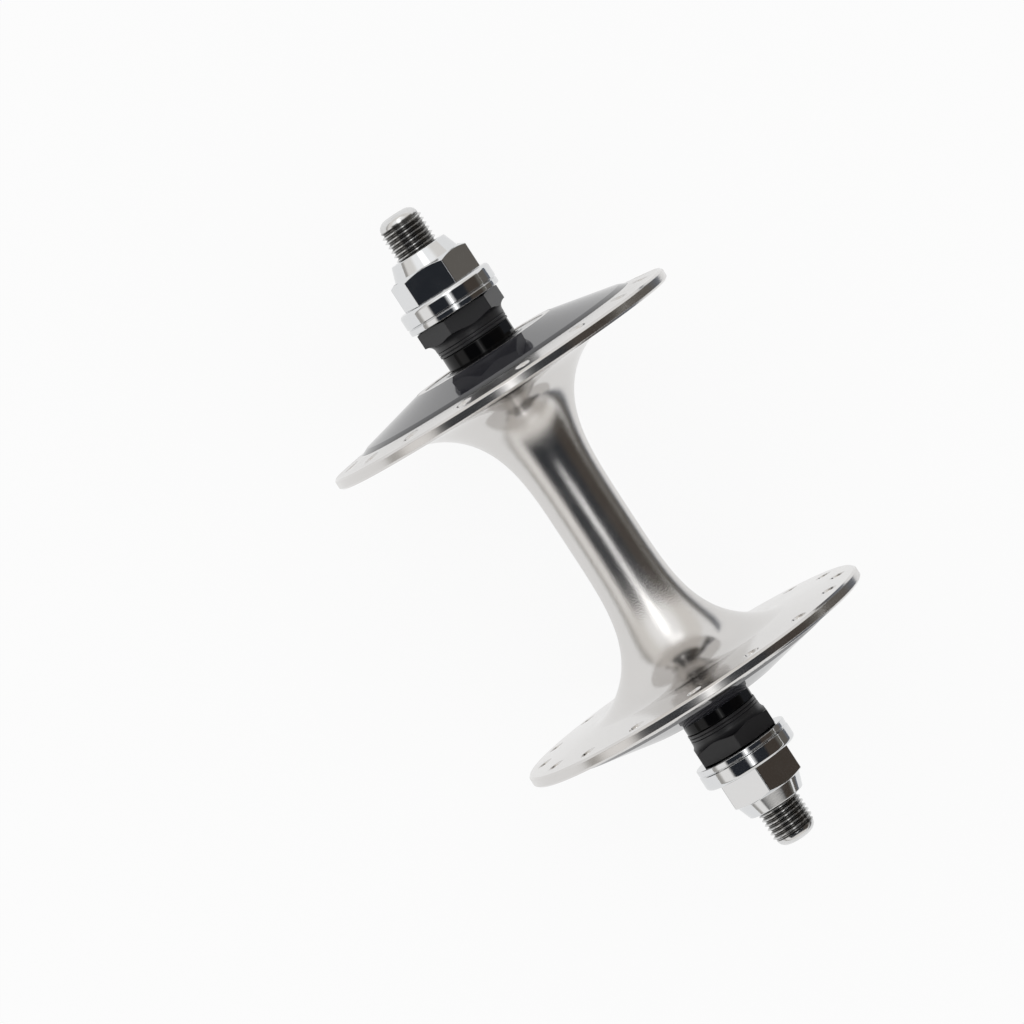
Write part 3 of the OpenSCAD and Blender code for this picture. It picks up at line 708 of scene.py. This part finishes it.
def polished_aluminium():
    """Forged aluminium, turned and then buffed. The flanges are a clear mirror with faint rings.
    The barrel, where the buffing wheel hardly reaches, keeps a fine grain, and the drilled faces
    and the rims are satin. The grain is 0.05 mm wide and is drawn at 0.25 mm so that it shows."""
    material, tree, shader = finish_of("buffed_aluminium", "#DAD8D6", 1.0, 0.2)
    place, radius, along = around_axis(tree)
    rings = turning_marks(tree, radius, along, 0.3)
    grain = add(tree, "ShaderNodeTexNoise", Vector=place, Scale=1 / (0.25 * MM),
                Detail=1.0).outputs["Fac"]
    cloud = add(tree, "ShaderNodeTexNoise", Vector=place, Scale=1 / (9 * MM),
                Detail=3.0).outputs["Fac"]
    barrel = add(tree, "ShaderNodeMapRange", Value=radius, From_Min=15 * MM,
                 From_Max=8 * MM).outputs[0]
    away = add(tree, "ShaderNodeMath", {"operation": "ABSOLUTE"}, i0=along).outputs[0]
    face = add(tree, "ShaderNodeMapRange", Value=away, From_Min=(RIM_OUT_Y - 0.1) * MM,
               From_Max=(RIM_OUT_Y + 0.1) * MM).outputs[0]
    rim = add(tree, "ShaderNodeMapRange", Value=radius, From_Min=(RIM_R - 0.2) * MM,
              From_Max=(RIM_R - 0.1) * MM).outputs[0]
    satin = add(tree, "ShaderNodeMath", {"operation": "MAXIMUM"}, i0=face, i1=rim).outputs[0]
    clear = add(tree, "ShaderNodeMapRange", Value=cloud, From_Min=0.3, From_Max=0.7,
                To_Min=0.09, To_Max=0.14).outputs[0]
    grained = add(tree, "ShaderNodeMapRange", Value=cloud, From_Min=0.3, From_Max=0.7,
                  To_Min=0.17, To_Max=0.24).outputs[0]
    mixed = add(tree, "ShaderNodeMix", Factor=barrel, A=clear, B=grained).outputs["Result"]
    rough = add(tree, "ShaderNodeMix", Factor=satin, A=mixed, B=grained).outputs["Result"]
    tree.links.new(rough, shader.inputs["Roughness"])
    faint = add(tree, "ShaderNodeMath", {"operation": "MULTIPLY"}, i0=rings, i1=0.2).outputs[0]
    height = add(tree, "ShaderNodeMix", Factor=barrel, A=faint, B=grain).outputs["Result"]
    bump = add(tree, "ShaderNodeBump", Height=height, Strength=0.4, Distance=0.09 * MM).outputs[0]
    tree.links.new(bump, shader.inputs["Normal"])
    return material


def black_film():
    """Printed charcoal film under a gloss lacquer. A black line 0.6 mm wide round its outer edge is
    painted shade, where the film meets its groove. The film's speckle is 0.25 mm wide."""
    material, tree, shader = finish_of("charcoal_film", "#2B2B2F", 0.0, 0.5, Coat_Weight=1.0,
                                       Coat_Roughness=0.03, Specular_IOR_Level=0.0)
    place, radius, _ = around_axis(tree)
    speckle = add(tree, "ShaderNodeTexNoise", Vector=place, Scale=1 / (0.25 * MM),
                  Detail=2.0).outputs["Fac"]
    tone = add(tree, "ShaderNodeMixRGB", Fac=speckle, Color1=linear("#242428"),
               Color2=linear("#343439")).outputs[0]
    # Painted shade: the outer 0.6 mm of the film is darkened to stand for the groove's shadow
    line = add(tree, "ShaderNodeMapRange", Value=radius, From_Min=(RING_R - 0.75) * MM,
               From_Max=(RING_R - 0.6) * MM).outputs[0]
    colour = add(tree, "ShaderNodeMixRGB", Fac=line, Color1=tone,
                 Color2=linear("#101012")).outputs[0]
    tree.links.new(colour, shader.inputs["Base Color"])
    return material


def bright_chrome():
    """Chrome plate on turned steel: a spotless mirror, a little brighter and bluer than the
    aluminium. The steel's grain shows through at 0.3 mm, coarser than it is."""
    material, tree, shader = finish_of("bright_chrome", "#E0E1E2", 1.0, 0.07)
    place, radius, along = around_axis(tree)
    rings = turning_marks(tree, radius, along, 0.2, 3.0)
    grain = add(tree, "ShaderNodeTexNoise", Vector=place, Scale=1 / (0.3 * MM),
                Detail=2.0).outputs["Fac"]
    first = add(tree, "ShaderNodeBump", Height=rings, Strength=0.03, Distance=0.02 * MM).outputs[0]
    bump = add(tree, "ShaderNodeBump", Height=grain, Strength=0.1, Distance=0.03 * MM,
               Normal=first).outputs[0]
    tree.links.new(bump, shader.inputs["Normal"])
    cloud = add(tree, "ShaderNodeTexNoise", Vector=place, Scale=1 / (3 * MM)).outputs["Fac"]
    rough = add(tree, "ShaderNodeMapRange", Value=cloud, From_Min=0.3, From_Max=0.7,
                To_Min=0.05, To_Max=0.1).outputs[0]
    tree.links.new(rough, shader.inputs["Roughness"])
    return material


def zinc_steel():
    """Rolled steel thread with thin zinc plate: bright on the crests and the rounded tips, dark in
    the roots with oil and painted shade. The plate is cloudy over 1.6 mm, the width of a thread
    and a half."""
    material, tree, shader = finish_of("zinc_plated_steel", "#CCCCCC", 1.0, 0.18)
    place, radius, along = around_axis(tree)
    cloud = add(tree, "ShaderNodeTexNoise", Vector=place, Scale=1 / (1.6 * MM),
                Detail=2.0).outputs["Fac"]
    plate = add(tree, "ShaderNodeMixRGB", Fac=cloud, Color1=linear("#D2D2D1"),
                Color2=linear("#E6E6E6")).outputs[0]
    crest = add(tree, "ShaderNodeMapRange", Value=radius, From_Min=(AXLE_R - 0.5) * MM,
                From_Max=(AXLE_R - 0.1) * MM).outputs[0]
    away = add(tree, "ShaderNodeMath", {"operation": "ABSOLUTE"}, i0=along).outputs[0]
    tip = add(tree, "ShaderNodeMapRange", Value=away, From_Min=(AXLE_TIP_Y - TIP_LEN - 0.5) * MM,
              From_Max=(AXLE_TIP_Y - TIP_LEN) * MM).outputs[0]
    clear_of_oil_and_shade = add(tree, "ShaderNodeMath", {"operation": "MAXIMUM"}, i0=crest, i1=tip).outputs[0]
    # Painted shade: the dark colour in the thread's roots stands for their shade as well as for oil
    tone = add(tree, "ShaderNodeMixRGB", Fac=clear_of_oil_and_shade, Color1=linear("#6E6D6B"),
               Color2=plate).outputs[0]
    tree.links.new(tone, shader.inputs["Base Color"])
    rough = add(tree, "ShaderNodeMapRange", Value=cloud, To_Min=0.15, To_Max=0.22).outputs[0]
    tree.links.new(rough, shader.inputs["Roughness"])
    return material


def black_oxide():
    """Black oxide on machined steel: satin charcoal with a fine grain, drawn at 0.3 mm, coarser
    than it is, so that it shows."""
    material, tree, shader = finish_of("black_oxide_steel", "#262628", 0.0, 0.36)
    place = add(tree, "ShaderNodeTexCoord").outputs["Object"]
    grain = add(tree, "ShaderNodeTexNoise", Vector=place, Scale=1 / (0.3 * MM),
                Detail=3.0).outputs["Fac"]
    rough = add(tree, "ShaderNodeMapRange", Value=grain, To_Min=0.3, To_Max=0.44).outputs[0]
    tree.links.new(rough, shader.inputs["Roughness"])
    bump = add(tree, "ShaderNodeBump", Height=grain, Strength=0.15, Distance=0.02 * MM).outputs[0]
    tree.links.new(bump, shader.inputs["Normal"])
    return material


def gloss_black():
    """Ground and blackened steel with an oiled gloss: a dark mirror."""
    material, tree, shader = finish_of("oiled_gloss_black", "#09090A", 0.0, 0.07,
                                       Specular_IOR_Level=0.2)
    _, radius, along = around_axis(tree)
    rings = turning_marks(tree, radius, along, 0.25, 7.0)
    bump = add(tree, "ShaderNodeBump", Height=rings, Strength=0.03, Distance=0.02 * MM).outputs[0]
    tree.links.new(bump, shader.inputs["Normal"])
    tone = add(tree, "ShaderNodeMixRGB", Fac=rings, Color1=linear("#070708"),
               Color2=linear("#0D0D0E")).outputs[0]
    tree.links.new(tone, shader.inputs["Base Color"])
    return material


def bearing_steel():
    """Hardened bearing steel, ground and lapped to a mirror."""
    material, tree, shader = finish_of("lapped_bearing_steel", "#BFC0C2", 1.0, 0.08)
    place = add(tree, "ShaderNodeTexCoord").outputs["Object"]
    cloud = add(tree, "ShaderNodeTexNoise", Vector=place, Scale=1 / (0.8 * MM)).outputs["Fac"]
    rough = add(tree, "ShaderNodeMapRange", Value=cloud, To_Min=0.05, To_Max=0.12).outputs[0]
    tree.links.new(rough, shader.inputs["Roughness"])
    return material


def nitrile_rubber():
    """Moulded nitrile rubber: black, matt, with a faint mould grain."""
    material, tree, shader = finish_of("nitrile_rubber", "#161616", 0.0, 0.6)
    place = add(tree, "ShaderNodeTexCoord").outputs["Object"]
    grain = add(tree, "ShaderNodeTexNoise", Vector=place, Scale=1 / (0.2 * MM)).outputs["Fac"]
    bump = add(tree, "ShaderNodeBump", Height=grain, Strength=0.3, Distance=0.02 * MM).outputs[0]
    tree.links.new(bump, shader.inputs["Normal"])
    return material


aluminium = polished_aluminium()
film = black_film()
chrome = bright_chrome()
zinc = zinc_steel()
oxide = black_oxide()
gloss = gloss_black()
steel = bearing_steel()
rubber = nitrile_rubber()

hub_shell(aluminium)
axle(zinc)
for side, end in ENDS:
    face_ring(side, end, film)
    dust_cap(side, end, gloss)
    cone(side, end, gloss)
    key_washer(side, end, oxide)
    locknut(side, end, oxide)
    captive_washer(side, end, chrome)
    axle_nut(side, end, chrome)
    for name, material in (("balls", steel), ("bearing_cup", steel), ("seal", rubber)):
        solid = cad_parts[side + "_" + name]
        solid.data.materials.clear()
        solid.data.materials.append(material)


# Floor, light and camera
def sheet_of(name, low, high, level):
    """A flat sheet of the studio, from one corner (x, y) to the other, in metres."""
    mesh = bpy.data.meshes.new(name)
    corners = (low, (high[0], low[1]), high, (low[0], high[1]))
    mesh.from_pydata([(x, y, level) for x, y in corners], [], [(0, 1, 2, 3)])
    made = bpy.data.objects.new(name, mesh)
    bpy.context.scene.collection.objects.link(made)
    material = bpy.data.materials.new(name)
    material.use_nodes = True
    material.node_tree.nodes.clear()
    mesh.materials.append(material)
    return made, material.node_tree


def floor():
    """White paper, larger than any view. The camera sees nine tenths of it as plain white, and
    the rest as paper that catches a faint shadow. Metal sees four fifths of that white."""
    _, tree = sheet_of("white_paper", (-6, -6), (6, 6), FLOOR_Z)
    path = add(tree, "ShaderNodeLightPath").outputs
    paper = add(tree, "ShaderNodeBsdfDiffuse", Color=linear("#E8E8E8")).outputs[0]
    mirrored = add(tree, "ShaderNodeMath", {"operation": "MAXIMUM"}, i0=path["Is Glossy Ray"],
                   i1=path["Is Transmission Ray"]).outputs[0]
    part = add(tree, "ShaderNodeMath", {"operation": "MULTIPLY"}, i0=mirrored, i1=0.8).outputs[0]
    seen = add(tree, "ShaderNodeMath", {"operation": "MAXIMUM"}, i0=path["Is Camera Ray"],
               i1=part).outputs[0]
    white = add(tree, "ShaderNodeEmission", Color=(1, 1, 1, 1), Strength=1.0).outputs[0]
    bright = add(tree, "ShaderNodeMixShader", Fac=0.9, i1=paper, i2=white).outputs[0]
    mixed = add(tree, "ShaderNodeMixShader", Fac=seen, i1=paper, i2=bright).outputs[0]
    add(tree, "ShaderNodeOutputMaterial", Surface=mixed)


def dark_card():
    """Card laid on the paper beside the hub, out of sight, slate blue up to 8 cm from the hub's
    middle and brown from 12 cm. It glows with its own colour, as a painted reflection, and only
    polished metal shows it."""
    card, tree = sheet_of("dark_card", (-3, -0.08), (-0.07, 0.25), FLOOR_Z + 0.0004)
    place = add(tree, "ShaderNodeTexCoord").outputs["Object"]
    away = add(tree, "ShaderNodeSeparateXYZ", Vector=place).outputs["X"]
    near = add(tree, "ShaderNodeMapRange", Value=away, From_Min=-0.12, From_Max=-0.08).outputs[0]
    tone = add(tree, "ShaderNodeMixRGB", Fac=near, Color1=linear("#66625D"),
               Color2=linear("#6C7078")).outputs[0]
    # Painted reflection: the card glows with these colours rather than being lit
    glow = add(tree, "ShaderNodeEmission", Color=tone, Strength=1.0).outputs[0]
    add(tree, "ShaderNodeOutputMaterial", Surface=glow)
    card.visible_camera = False
    card.visible_diffuse = False
    card.visible_shadow = False


def studio():
    """Even white light, with the dark side of the studio and its lamps drawn for reflections.
    turn is a direction's angle about the axle, from straight up towards -X, and tilt is its angle
    along the axle, towards the left end."""
    world = bpy.data.worlds.new("studio")
    world.use_nodes = True
    tree = world.node_tree
    tree.nodes.clear()
    path = add(tree, "ShaderNodeLightPath").outputs
    way = add(tree, "ShaderNodeTexCoord").outputs["Generated"]
    parts = add(tree, "ShaderNodeSeparateXYZ", Vector=way).outputs
    side = add(tree, "ShaderNodeMath", {"operation": "MULTIPLY"}, i0=parts["X"], i1=-1.0).outputs[0]
    turn = add(tree, "ShaderNodeMath", {"operation": "ARCTAN2"}, i0=side, i1=parts["Z"]).outputs[0]
    tilt = add(tree, "ShaderNodeMath", {"operation": "ARCSINE"}, i0=parts["Y"]).outputs[0]

    def panel(turns, tilts, soft=3.0, right=3.0, left=3.0):
        """A soft-edged patch of the sky between two angles about the axle and two along it, as
        the product of four smooth steps. soft is its edges' half width about the axle, and right
        and left are those at its two ends."""
        patch = 1.0
        for angle, start, end in ((turn, turns[0] - soft, turns[0] + soft),
                                  (turn, turns[1] + soft, turns[1] - soft),
                                  (tilt, tilts[0] - right, tilts[0] + right),
                                  (tilt, tilts[1] + left, tilts[1] - left)):
            patch = add(tree, "ShaderNodeMapRange", {"interpolation_type": "SMOOTHSTEP"},
                        Value=angle, From_Min=np.radians(start), From_Max=np.radians(end),
                        To_Max=patch).outputs[0]
        return patch

    # A grey wall at the horizon on the +X side, the dark side of the studio in three shades, from
    # over the hub down to the -X side, and a white board between wall and dark side
    colour = linear("#E9E6E2")
    for patch, shade in ((panel((-100, -78), (-60, 60), 6.0), "#A8A5A1"),
                         (panel((-50, 132), (-12, 46), 5.0, 9.0, 4.0), "#25282D"),
                         (panel((44, 80), (-12, 46), 5.0, 9.0, 4.0), "#443D37"),
                         (panel((80, 132), (-12, 46), 5.0, 9.0, 4.0), "#66635D"),
                         (panel((-76, -52), (-12, 60), 4.0), "#F6F4F2")):
        colour = add(tree, "ShaderNodeMixRGB", Fac=patch, Color1=colour,
                     Color2=linear(shade)).outputs[0]
    mirrored = add(tree, "ShaderNodeBackground", Color=colour, Strength=1.0).outputs[0]
    # A broad soft lamp past the right end, a strip lamp over the hub, its brighter part, the tube
    # in it, and a small lamp low past the right end
    for patch, strength in ((panel((-40, 44), (-60, -18), 10.0, 8.0, 8.0), 1.05),
                            (panel((-4, 9), (-50, 14), 5.0), 1.0),
                            (panel((-8, 12), (-50, -8), 6.0, 8.0, 8.0), 2.0),
                            (panel((1, 4), (-50, 14), 1.5), 2.4),
                            (panel((-8, 38), (-66, -55)), 1.5)):
        lamp = add(tree, "ShaderNodeBackground", Color=linear("#FFFFFF"),
                   Strength=strength).outputs[0]
        mirrored = add(tree, "ShaderNodeMixShader", Fac=patch, i1=mirrored, i2=lamp).outputs[0]
    plain = add(tree, "ShaderNodeBackground", Color=linear("#FFFFFF"), Strength=0.9).outputs[0]
    seen = add(tree, "ShaderNodeBackground", Color=(1, 1, 1, 1), Strength=1.0).outputs[0]
    lit = add(tree, "ShaderNodeMixShader", Fac=path["Is Glossy Ray"], i1=plain,
              i2=mirrored).outputs[0]
    whole = add(tree, "ShaderNodeMixShader", Fac=path["Is Camera Ray"], i1=lit, i2=seen).outputs[0]
    add(tree, "ShaderNodeOutputWorld", Surface=whole)
    bpy.context.scene.world = world


def camera():
    """Straight over the hub, a little past its right end, rolled as the photograph shows it.
    Its place, roll and lens were fitted to the hub's outline there."""
    place, target = Vector((0.0122, -0.094, 1.1474)), Vector((0.0122, -0.01152, 0))
    back = (place - target).normalized()
    right = Vector((-0.8367, 0.5477, 0))
    right = (right - back * right.dot(back)).normalized()
    up = back.cross(right)
    data = bpy.data.cameras.new("camera")
    data.sensor_width = 36
    data.lens = 210.55
    data.clip_end = 50
    made = bpy.data.objects.new("camera", data)
    turn = Matrix((right, up, back)).transposed().to_4x4()
    made.matrix_world = Matrix.Translation(place) @ turn
    bpy.context.scene.collection.objects.link(made)
    bpy.context.scene.camera = made


floor()
dark_card()
studio()
camera()
bpy.context.scene.view_settings.view_transform = "Standard"
